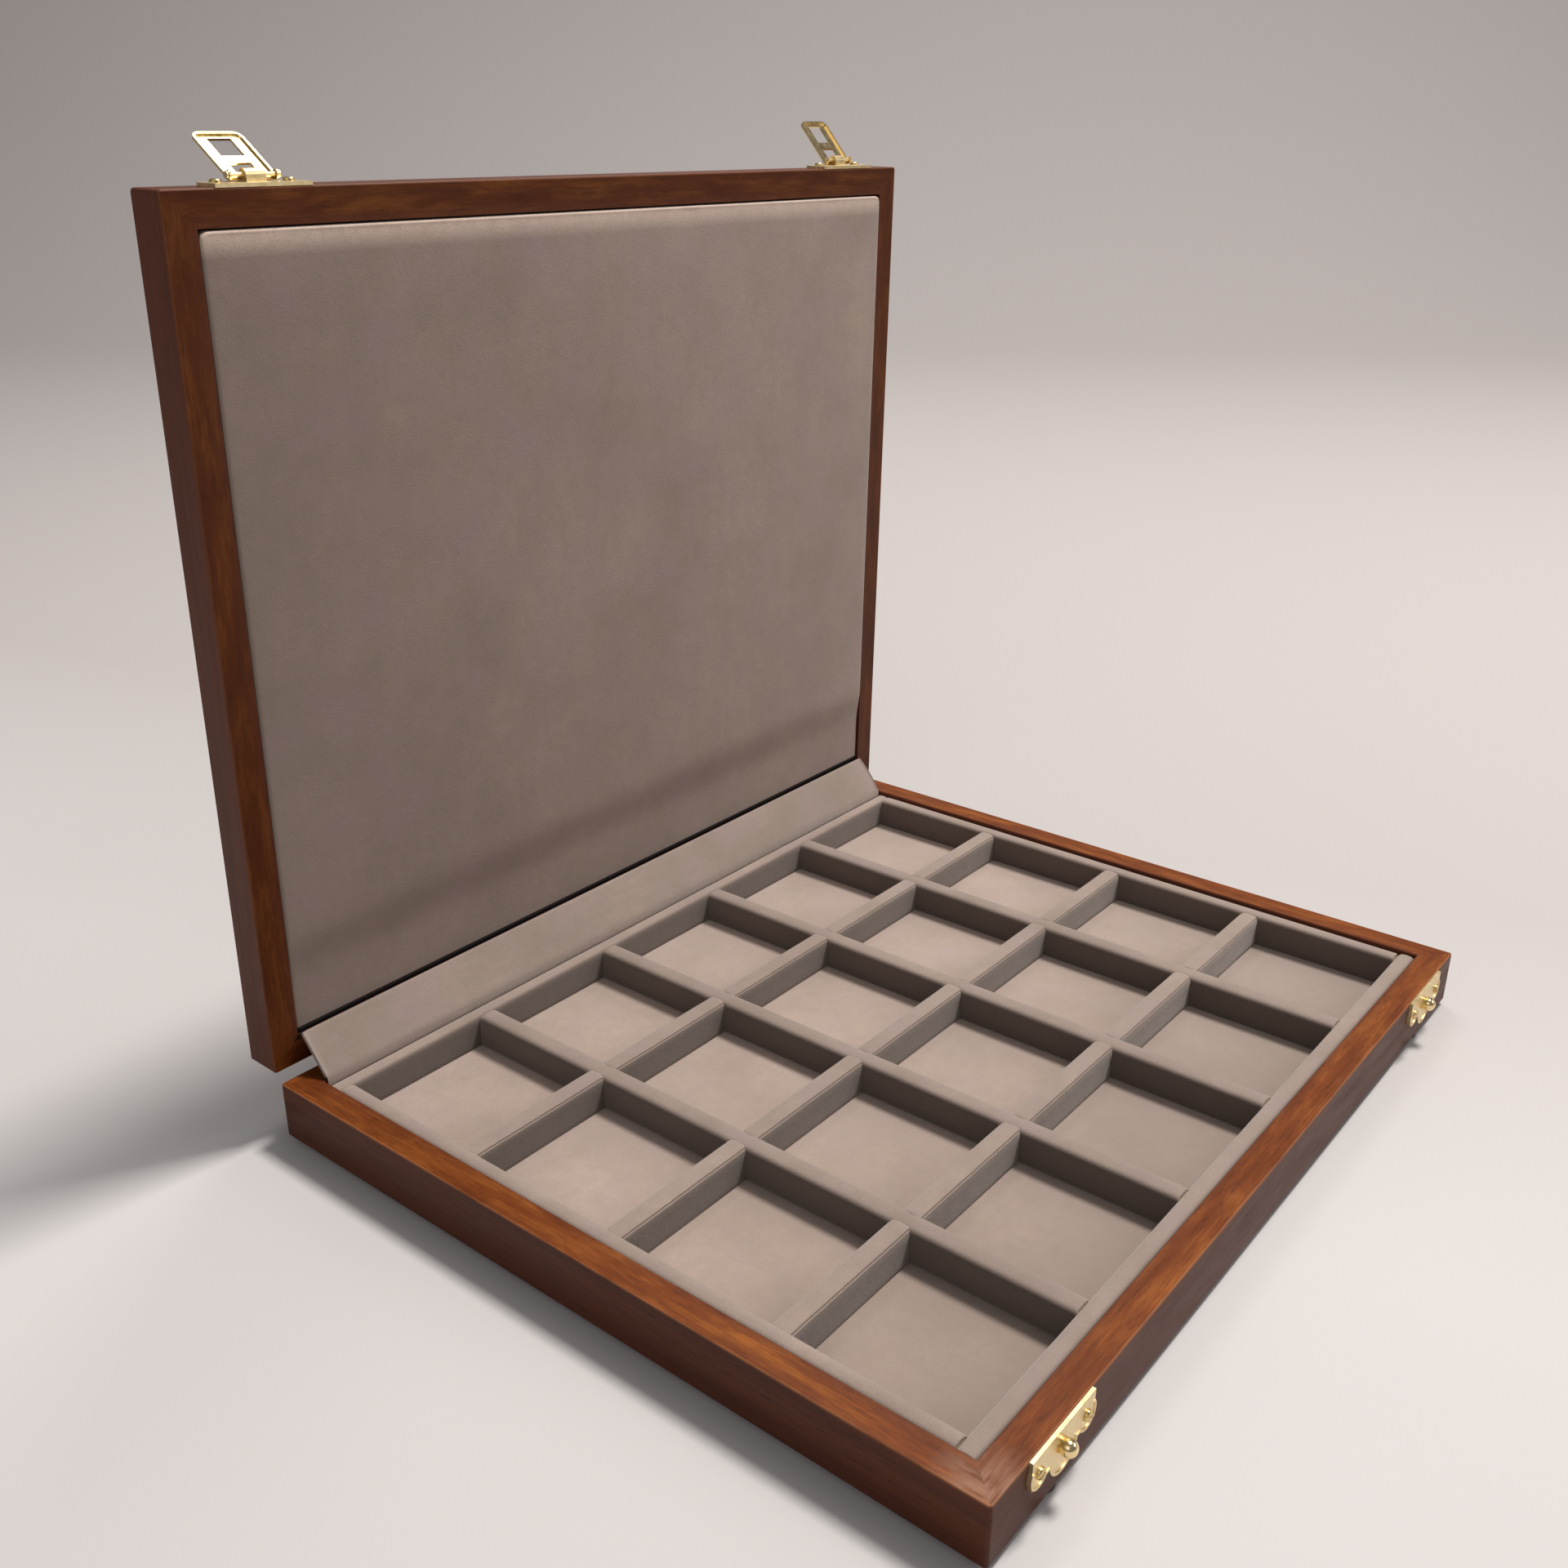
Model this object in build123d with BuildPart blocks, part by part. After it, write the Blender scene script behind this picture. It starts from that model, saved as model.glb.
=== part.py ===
from build123d import *
import os
from math import sin, cos, radians

os.makedirs("parts", exist_ok=True)

# ------------------------------------------------------------------
# Coin display box.  Millimetres.  +Z up, -Y is the front with the two
# latches, +Y is the hinge side.  Drawn about the middle of the underside
# of the wood, then moved as a whole so that the origin is under the
# middle of the opened box's bounding box, on the surface it stands on.
# The lid is built open, standing on its hinge stops.
# ------------------------------------------------------------------

# tray of square cells
cell = 50.2              # clear width of a cell, for a 50 mm square coin capsule
cells_x, cells_y = 5, 4
divider_t = 7.4          # divider over its velvet
border_t = 5.8           # border strip over its velvet
tray_gap = 0.4           # gap between tray and wooden rails
velvet_t = 0.8           # pile and backing
lap_gap = 0.3            # play in the half lap slots

# wooden box
rail_w = 9.5             # wall thickness seen from above
base_h = 18.5            # height of the base frame
lid_h = 12.5             # height of the lid frame
foot_h = 2.0
foot_r = 3.5
foot_x, foot_in = 126.0, 3.8      # feet: from the middle, and in from the outer face
reach_mid = 6.8145       # middle of the opened box's depth, from stud to lever tip
corner_r = 1.1           # vertical outer corners
edge_r = 0.5             # long outer edges
panel_t = 3.0            # bottom and top panels
rabbet_w = 4.5           # how far the panels sit under the rails
seam = 0.3               # gap between base and lid when shut

# stack inside the base
board_t = 2.2            # tray floor board
border_drop = 1.2        # tray top below the rail top

# stack inside the lid
pad_board_t = 1.5
pad_recess = 1.0         # pad face behind the lid's mating face
pad_gap = 0.5            # gap around the pad

# hinges
open_deg = 89.0          # lid angle on its stops
hinge_x = 100.0          # hinge centres left and right of the middle
hinge_len = 32.0
pivot_back = 2.2         # pin axis behind the back face
knuckle_r = 2.0
hinge_pin_r = 0.9
leaf_t = 1.0
leaf_w = 7.3             # leaf width in the rail
run_gap = 0.05           # radial play of a turning joint

# hinge flap between tray and lid pad
flap_w = 16.7
flap_t = 1.5
flap_skin = 0.35
flap_deg = 130.3         # angle the flap turns while the lid shuts

# latches
latch_x = 125.5          # latch centres left and right of the middle
plate_t = 1.0
plate_w = 29.0
plate_band = 8.2         # straight part of the scalloped plates
ear_x, ear_z, ear_r = 10.9, 5.4, 4.2
lobe_z, lobe_r = 6.9, 6.5
stud_drop = 6.0          # stud below the base's top edge
stud_r = 2.35
stud_out = 1.25          # centre of its dome in front of the plate
bead_h = 0.2             # bead along the strike plate's scallops
pin_up = 5.2             # lever pin above the lid's mating face
pin_out = 2.7            # lever pin in front of the wood
latch_pin_r = 0.6
lever_w = 14.8
lever_l = 17.8           # pin axis to tip
lever_t = 0.7
flange_in, face_out = 2.9, 4.2    # lever from its flange edge to its face, in front of the wood
lever_ear_r = 1.2        # ears around the pin
window_w, window_l = 7.2, 7.1
window_drop = 6.7        # window's middle below the base's top edge when latched
left_lever_deg = 146.0   # how far each lever stands swung up from latched
right_lever_deg = 132.0
screw_r = 0.8
head_r = 1.6

# ---------------- derived sizes ----------------
tray_x = cells_x * cell + (cells_x - 1) * divider_t + 2 * border_t
tray_y = cells_y * cell + (cells_y - 1) * divider_t + 2 * border_t
open_x = tray_x + 2 * tray_gap
open_y = tray_y + 2 * tray_gap
W = open_x + 2 * rail_w
D = open_y + 2 * rail_w
z0 = 0.0                          # underside of the wood
z_part = z0 + base_h              # base top
z_lid = z_part + seam             # lid's mating face when shut
z_lid_top = z_lid + lid_h
z_board = z0 + panel_t
z_floor = z_board + board_t + velvet_t
z_tray = z_part - border_drop
core_t = divider_t - 2 * velvet_t
border_core = border_t - 2 * velvet_t
pitch = cell + divider_t
cross_x = [(i - (cells_x - 2) / 2) * pitch for i in range(cells_x - 1)]
long_y = [(j - (cells_y - 2) / 2) * pitch for j in range(cells_y - 1)]
z_lap = (z_floor + z_tray) / 2
yp, zp = D / 2 + pivot_back, z_part + seam / 2      # hinge pin axis
yf, zf = open_y / 2 - 0.4, z_part + 0.1             # fold line of the flap
front = -D / 2


def turned(deg, src, dst):
    """Plane in which a piece drawn shut is placed after turning it back by
    deg about X, the point src (y, z) landing on dst (y, z)."""
    c, s = cos(radians(deg)), sin(radians(deg))
    return Plane(origin=(0, dst[0] - (src[0] * c + src[1] * s), dst[1] - (-src[0] * s + src[1] * c)),
                 x_dir=(1, 0, 0), z_dir=(0, s, c))


LID = turned(open_deg, (yp, zp), (yp, zp))
FLAP = turned(flap_deg, (yf, zf), (yf, zf))


def in_world(frame, y, z):
    v = frame.from_local_coords(Vector(0, y, z))
    return v.Y, v.Z


def front_plane(frame, out):
    """Plane parallel to the front face, out millimetres before it, local X
    along the box and local Y up."""
    o = frame.from_local_coords(Vector(0, front - out, 0))
    return Plane(origin=o, x_dir=(1, 0, 0), z_dir=-frame.y_dir)


def side_plane(frame, x):
    """Plane across the box at x, local X towards the back, local Y up."""
    o = frame.from_local_coords(Vector(x, 0, 0))
    return Plane(origin=o, x_dir=frame.y_dir, z_dir=(1, 0, 0))


def keep(piece, name):
    placed = piece.part.moved(Location((0, -reach_mid, foot_h)))
    placed.label = name
    export_step(placed, f"parts/{name}.step")
    print(f"{name:24s} {len(piece.part.solids())} solid(s) {piece.part.volume:10.1f} mm3")


def wedge(side):
    """Plan outline that keeps one side of a mitred frame."""
    f = 40.0
    hx, hy = W / 2, D / 2
    if side == "front":
        return [(-hx - f, -hy - f), (hx + f, -hy - f), (hx - f, -hy + f), (-hx + f, -hy + f)]
    if side == "back":
        return [(-hx - f, hy + f), (-hx + f, hy - f), (hx - f, hy - f), (hx + f, hy + f)]
    if side == "left":
        return [(-hx - f, -hy - f), (-hx + f, -hy + f), (-hx + f, hy - f), (-hx - f, hy + f)]
    return [(hx + f, -hy - f), (hx + f, hy + f), (hx - f, hy - f), (hx - f, -hy + f)]


# ------------------------------------------------------------------
# Base frame: four mitred rails with a rabbet for the bottom panel
# ------------------------------------------------------------------
for side in ("front", "back", "left", "right"):
    with BuildPart() as rail:
        with BuildSketch(Plane.XY.offset(z0)):
            RectangleRounded(W, D, corner_r)
        extrude(amount=base_h)
        fillet(rail.faces().sort_by(Axis.Z)[-1].outer_wire().edges(), edge_r)
        fillet(rail.faces().sort_by(Axis.Z)[0].outer_wire().edges(), edge_r)
        with BuildSketch(Plane.XY.offset(z0)):
            Rectangle(open_x, open_y)
        extrude(amount=base_h, mode=Mode.SUBTRACT)
        with BuildSketch(Plane.XY.offset(z0)):
            Rectangle(open_x + 2 * rabbet_w, open_y + 2 * rabbet_w)
        extrude(amount=panel_t, mode=Mode.SUBTRACT)
        with BuildSketch(Plane.XY.offset(z0)):
            Polygon(*wedge(side), align=None)
        extrude(amount=base_h, mode=Mode.INTERSECT)
        top_in = rail.faces().sort_by(Axis.Z)[-1].edges()
        inner = [e for e in top_in if abs(abs(e.center().Y) - open_y / 2) < 0.01 or abs(abs(e.center().X) - open_x / 2) < 0.01]
        chamfer(inner, 0.35)
        if side == "back":
            for cx in (-hinge_x, hinge_x):
                # mortise for the hinge leaf and its screw holes
                with BuildSketch(Plane.XY.offset(z_part - leaf_t)):
                    with Locations((cx, D / 2 - leaf_w / 2)):
                        Rectangle(hinge_len, leaf_w)
                extrude(amount=leaf_t, mode=Mode.SUBTRACT)
                with BuildSketch(Plane.XY.offset(z_part - leaf_t)):
                    with Locations((cx - 10.5, D / 2 - 3.8), (cx + 10.5, D / 2 - 3.8)):
                        Circle(screw_r)
                extrude(amount=-6.0, mode=Mode.SUBTRACT)
        if side == "front":
            for cx in (-latch_x, latch_x):
                with BuildSketch(front_plane(Plane.XY, 0)):
                    with Locations((cx - ear_x, z_part - ear_z), (cx + ear_x, z_part - ear_z)):
                        Circle(screw_r)
                    with Locations((cx, z_part - stud_drop)):
                        Circle(1.0)
                extrude(amount=-6.0, mode=Mode.SUBTRACT)
    keep(rail, f"base_{side}_rail")

with BuildPart() as base_bottom_panel:
    with BuildSketch(Plane.XY.offset(z0)):
        Rectangle(open_x + 2 * rabbet_w, open_y + 2 * rabbet_w)
    extrude(amount=panel_t)
keep(base_bottom_panel, "base_bottom_panel")

with BuildPart() as feet:
    with BuildSketch(Plane.XY.offset(-foot_h)):
        with GridLocations(2 * foot_x, D - 2 * foot_in, 2, 2):
            Circle(foot_r)
    extrude(amount=foot_h)
    chamfer(feet.edges().group_by(Axis.Z)[0], 0.4)
keep(feet, "rubber_feet")

# ------------------------------------------------------------------
# Tray: board, floor velvet, border strips and lapped dividers
# ------------------------------------------------------------------
with BuildPart() as tray_floor_board:
    with BuildSketch(Plane.XY.offset(z_board)):
        Rectangle(tray_x, tray_y)
    extrude(amount=board_t)
keep(tray_floor_board, "tray_floor_board")

with BuildPart() as tray_floor_velvet:
    with BuildSketch(Plane.XY.offset(z_board + board_t)):
        Rectangle(tray_x, tray_y)
    extrude(amount=velvet_t)
keep(tray_floor_velvet, "tray_floor_velvet")

# a strip is (name, centre x, centre y, length, along, thickness, slots, slots from above)
strips = [
    ("tray_front_border", 0, -(tray_y - border_t) / 2, tray_x, "X", border_t, [], False),
    ("tray_back_border", 0, (tray_y - border_t) / 2, tray_x, "X", border_t, [], False),
    ("tray_left_border", -(tray_x - border_t) / 2, 0, tray_y - 2 * border_t, "Y", border_t, [], False),
    ("tray_right_border", (tray_x - border_t) / 2, 0, tray_y - 2 * border_t, "Y", border_t, [], False),
]
for i, x in enumerate(cross_x):
    strips.append((f"cross_divider_{i + 1}", x, 0, tray_y - 2 * border_t, "Y", divider_t, long_y, False))
for j, y in enumerate(long_y):
    strips.append((f"long_divider_{j + 1}", 0, y, tray_x - 2 * border_t, "X", divider_t, cross_x, True))

for name, sx, sy, length, along, thick, slots, above in strips:
    core = thick - 2 * velvet_t
    axis = Axis.X if along == "X" else Axis.Y
    size_out = (length, thick) if along == "X" else (thick, length)
    size_in = (length, core) if along == "X" else (core, length)
    slot_size = (divider_t + lap_gap, divider_t) if along == "X" else (divider_t, divider_t + lap_gap)
    slot_at = [(s, sy) if along == "X" else (sx, s) for s in slots]
    slot_z, slot_h = (z_lap - 0.05, z_tray) if above else (z_floor, z_lap + 0.05 - z_floor)
    with BuildPart() as strip_core:
        with BuildSketch(Plane.XY.offset(z_floor)):
            with Locations((sx, sy)):
                Rectangle(*size_in)
        extrude(amount=z_tray - velvet_t - z_floor)
        if slots:
            with BuildSketch(Plane.XY.offset(slot_z)):
                with Locations(*slot_at):
                    Rectangle(*slot_size)
            extrude(amount=slot_h, mode=Mode.SUBTRACT)
    keep(strip_core, f"{name}_core")
    with BuildPart() as strip_velvet:
        with BuildSketch(Plane.XY.offset(z_floor)):
            with Locations((sx, sy)):
                Rectangle(*size_out)
        extrude(amount=z_tray - z_floor)
        fillet(strip_velvet.edges().filter_by(axis).group_by(Axis.Z)[-1], 1.5)
        with BuildSketch(Plane.XY.offset(z_floor)):
            with Locations((sx, sy)):
                Rectangle(*size_in)
        extrude(amount=z_tray - velvet_t - z_floor, mode=Mode.SUBTRACT)
        if slots:
            with BuildSketch(Plane.XY.offset(slot_z)):
                with Locations(*slot_at):
                    Rectangle(slot_size[0] + (2 if along == "Y" else 0), slot_size[1] + (2 if along == "X" else 0))
            extrude(amount=slot_h, mode=Mode.SUBTRACT)
    keep(strip_velvet, f"{name}_velvet")

# ------------------------------------------------------------------
# Lid frame and top panel, placed on the open lid's planes
# ------------------------------------------------------------------
for side in ("front", "back", "left", "right"):
    with BuildPart() as rail:
        with BuildSketch(LID.offset(z_lid)):
            RectangleRounded(W, D, corner_r)
        extrude(amount=lid_h)
        up = Axis(LID.origin, LID.z_dir)
        fillet(rail.faces().sort_by(up)[-1].outer_wire().edges(), edge_r)
        fillet(rail.faces().sort_by(up)[0].outer_wire().edges(), edge_r)
        with BuildSketch(LID.offset(z_lid)):
            Rectangle(open_x, open_y)
        extrude(amount=lid_h, mode=Mode.SUBTRACT)
        with BuildSketch(LID.offset(z_lid_top - panel_t)):
            Rectangle(open_x + 2 * rabbet_w, open_y + 2 * rabbet_w)
        extrude(amount=panel_t, mode=Mode.SUBTRACT)
        with BuildSketch(LID.offset(z_lid)):
            Polygon(*wedge(side), align=None)
        extrude(amount=lid_h, mode=Mode.INTERSECT)
        if side == "back":
            for cx in (-hinge_x, hinge_x):
                with BuildSketch(LID.offset(z_lid)):
                    with Locations((cx, D / 2 - leaf_w / 2)):
                        Rectangle(hinge_len, leaf_w)
                extrude(amount=leaf_t, mode=Mode.SUBTRACT)
                with BuildSketch(LID.offset(z_lid + leaf_t)):
                    with Locations((cx - 10.5, D / 2 - 3.8), (cx + 10.5, D / 2 - 3.8)):
                        Circle(screw_r)
                extrude(amount=6.0, mode=Mode.SUBTRACT)
        if side == "front":
            for cx in (-latch_x, latch_x):
                with BuildSketch(front_plane(LID, 0)):
                    with Locations((cx - ear_x, z_lid + ear_z), (cx + ear_x, z_lid + ear_z)):
                        Circle(screw_r)
                extrude(amount=-6.0, mode=Mode.SUBTRACT)
    keep(rail, f"lid_{side}_rail")

with BuildPart() as lid_top_panel:
    with BuildSketch(LID.offset(z_lid_top - panel_t)):
        Rectangle(open_x + 2 * rabbet_w, open_y + 2 * rabbet_w)
    extrude(amount=panel_t)
keep(lid_top_panel, "lid_top_panel")

# pad: board, foam and a velvet cover with a skirt
pad_x, pad_y = open_x - 2 * pad_gap, open_y - 2 * pad_gap
z_pad = z_lid + pad_recess
z_pad_board = z_lid_top - panel_t - pad_board_t
with BuildPart() as lid_pad_board:
    with BuildSketch(LID.offset(z_pad_board)):
        Rectangle(pad_x, pad_y)
    extrude(amount=pad_board_t)
keep(lid_pad_board, "lid_pad_board")

with BuildPart() as lid_pad_foam:
    with BuildSketch(LID.offset(z_pad + velvet_t)):
        Rectangle(pad_x - 2 * velvet_t, pad_y - 2 * velvet_t)
    extrude(amount=z_pad_board - z_pad - velvet_t)
keep(lid_pad_foam, "lid_pad_foam")

with BuildPart() as lid_pad_velvet:
    with BuildSketch(LID.offset(z_pad)):
        Rectangle(pad_x, pad_y)
    extrude(amount=z_pad_board - z_pad)
    fillet(lid_pad_velvet.faces().sort_by(Axis(LID.origin, LID.z_dir))[0].edges(), 1.5)
    with BuildSketch(LID.offset(z_pad + velvet_t)):
        Rectangle(pad_x - 2 * velvet_t, pad_y - 2 * velvet_t)
    extrude(amount=z_pad_board - z_pad - velvet_t, mode=Mode.SUBTRACT)
keep(lid_pad_velvet, "lid_pad_velvet")

# ------------------------------------------------------------------
# Hinge flap: velvet covered card that folds down over the tray's edge
# ------------------------------------------------------------------
flap_x = open_x - 1.2
with BuildPart() as flap_velvet:
    with BuildSketch(FLAP.offset(zf - flap_t / 2)):
        with Locations((0, yf - (flap_w + 1.0) / 2)):
            Rectangle(flap_x, flap_w - 1.0)
    extrude(amount=flap_t)
    fillet(flap_velvet.edges().filter_by(Axis.X), 0.5)
    with BuildSketch(FLAP.offset(zf - flap_t / 2 + flap_skin)):
        with Locations((0, yf - (flap_w + 1.0) / 2)):
            Rectangle(flap_x - 2 * flap_skin, flap_w - 1.0 - 2 * flap_skin)
    extrude(amount=flap_t - 2 * flap_skin, mode=Mode.SUBTRACT)
keep(flap_velvet, "hinge_flap_velvet")

with BuildPart() as flap_card:
    with BuildSketch(FLAP.offset(zf - flap_t / 2 + flap_skin)):
        with Locations((0, yf - (flap_w + 1.0) / 2)):
            Rectangle(flap_x - 2 * flap_skin, flap_w - 1.0 - 2 * flap_skin)
    extrude(amount=flap_t - 2 * flap_skin)
keep(flap_card, "hinge_flap_card")

# ------------------------------------------------------------------
# Stop hinges: leaves let into the rails, three knuckles, a pin
# ------------------------------------------------------------------
k_mid = 5.2                       # half length of the lid's knuckle
k_gap = 0.3
for hand, cx in (("left", -hinge_x), ("right", hinge_x)):
    k_out = hinge_len / 2 - k_mid - k_gap
    k_at = hinge_len / 2 - k_out / 2
    with BuildPart() as base_leaf:
        with BuildSketch(Plane.XY.offset(z_part - leaf_t)):
            with Locations((cx, D / 2 - leaf_w / 2)):
                Rectangle(hinge_len, leaf_w)
            with Locations((cx - k_at, D / 2 + pivot_back / 2), (cx + k_at, D / 2 + pivot_back / 2)):
                Rectangle(k_out, pivot_back)
        extrude(amount=leaf_t)
        for kx in (cx - hinge_len / 2, cx + hinge_len / 2 - k_out):
            with BuildSketch(side_plane(Plane.XY, kx)):
                with Locations((yp, zp)):
                    Circle(knuckle_r)
                # heel that the opened lid comes to rest on
                with Locations((yp + 1.3, zp + 0.8)):
                    Rectangle(1.4, 2.6)
            extrude(amount=k_out)
        with BuildSketch(side_plane(Plane.XY, cx - hinge_len / 2)):
            with Locations((yp, zp)):
                Circle(hinge_pin_r)
        extrude(amount=hinge_len, mode=Mode.SUBTRACT)
        with BuildSketch(Plane.XY.offset(z_part)):
            with Locations((cx - 10.5, D / 2 - 3.8), (cx + 10.5, D / 2 - 3.8)):
                Circle(head_r)
        extrude(amount=-0.6, mode=Mode.SUBTRACT)
        with BuildSketch(Plane.XY.offset(z_part)):
            with Locations((cx - 10.5, D / 2 - 3.8), (cx + 10.5, D / 2 - 3.8)):
                Circle(screw_r)
        extrude(amount=-leaf_t, mode=Mode.SUBTRACT)
    keep(base_leaf, f"{hand}_hinge_base_leaf")

    with BuildPart() as lid_leaf:
        with BuildSketch(LID.offset(z_lid)):
            with Locations((cx, D / 2 - leaf_w / 2)):
                Rectangle(hinge_len, leaf_w)
            with Locations((cx, D / 2 + pivot_back / 2)):
                Rectangle(2 * k_mid, pivot_back)
        extrude(amount=leaf_t)
        with BuildSketch(side_plane(LID, cx - k_mid)):
            with Locations((yp, zp)):
                Circle(knuckle_r)
        extrude(amount=2 * k_mid)
        with BuildSketch(side_plane(LID, cx - k_mid)):
            with Locations((yp, zp)):
                Circle(hinge_pin_r + run_gap)
        extrude(amount=2 * k_mid, mode=Mode.SUBTRACT)
        with BuildSketch(LID.offset(z_lid)):
            with Locations((cx - 10.5, D / 2 - 3.8), (cx + 10.5, D / 2 - 3.8)):
                Circle(head_r)
        extrude(amount=0.6, mode=Mode.SUBTRACT)
        with BuildSketch(LID.offset(z_lid)):
            with Locations((cx - 10.5, D / 2 - 3.8), (cx + 10.5, D / 2 - 3.8)):
                Circle(screw_r)
        extrude(amount=leaf_t, mode=Mode.SUBTRACT)
    keep(lid_leaf, f"{hand}_hinge_lid_leaf")

    with BuildPart() as hinge_pin:
        with BuildSketch(side_plane(Plane.XY, cx - hinge_len / 2)):
            with Locations((yp, zp)):
                Circle(hinge_pin_r)
        extrude(amount=hinge_len)
        # peened ends
        for ex, way in ((cx - hinge_len / 2, -1), (cx + hinge_len / 2, 1)):
            with BuildSketch(side_plane(Plane.XY, ex)):
                with Locations((yp, zp)):
                    Circle(hinge_pin_r + 0.35)
            extrude(amount=0.4 * way)
    keep(hinge_pin, f"{hand}_hinge_pin")


def flat_screws(name, planes):
    """Slotted screws with flush heads; each plane lies on a head's top and
    points out of the wood."""
    with BuildPart() as screws:
        for pl in planes:
            with BuildSketch(pl):
                Circle(head_r)
            extrude(amount=-0.6)
            with BuildSketch(pl):
                Circle(screw_r)
            extrude(amount=-(leaf_t + 6.0))
            with BuildSketch(pl):
                Rectangle(2 * head_r, 0.5)
            extrude(amount=-0.3, mode=Mode.SUBTRACT)
    keep(screws, name)


def at(frame, x, y, z, way):
    return Plane(origin=frame.from_local_coords(Vector(x, y, z)), x_dir=(1, 0, 0), z_dir=way)


hinge_at = [cx + d for cx in (-hinge_x, hinge_x) for d in (-10.5, 10.5)]
flat_screws("hinge_base_screws", [at(Plane.XY, x, D / 2 - 3.8, z_part, (0, 0, 1)) for x in hinge_at])
flat_screws("hinge_lid_screws", [at(LID, x, D / 2 - 3.8, z_lid, -LID.z_dir) for x in hinge_at])

# ------------------------------------------------------------------
# Latches: scalloped plates, swing levers, studs
# ------------------------------------------------------------------
def scalloped(cx, edge, way, lobe):
    """Outline of a plate: straight edge at edge, ears and a round lobe on
    the side that way (+1 up, -1 down) points to."""
    with Locations((cx, edge + way * plate_band / 2)):
        Rectangle(plate_w, plate_band)
    with Locations((cx - ear_x, edge + way * ear_z), (cx + ear_x, edge + way * ear_z)):
        Circle(ear_r)
    with Locations((cx, edge + way * (lobe_z + lobe_r - lobe))):
        Circle(lobe)


def round_screws(name, plane, spots):
    """Slotted round-head screws on a plate; plane lies on the plate's face."""
    with BuildPart() as screws:
        for sx, sz, slant in spots:
            with BuildSketch(plane):
                with Locations((sx, sz)):
                    Circle(head_r)
            extrude(amount=0.9)
        fillet(screws.faces().sort_by(Axis(plane.origin, plane.z_dir))[-len(spots):].edges(), 0.7)
        for sx, sz, slant in spots:
            with BuildSketch(plane):
                with Locations((sx, sz)):
                    Circle(screw_r)
            extrude(amount=-(plate_t + 6.0))
            with BuildSketch(plane.offset(0.5)):
                with Locations(Location((sx, sz, 0), (0, 0, slant))):
                    Rectangle(2 * head_r + 0.4, 0.45)
            extrude(amount=0.6, mode=Mode.SUBTRACT)
    keep(screws, name)


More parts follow.
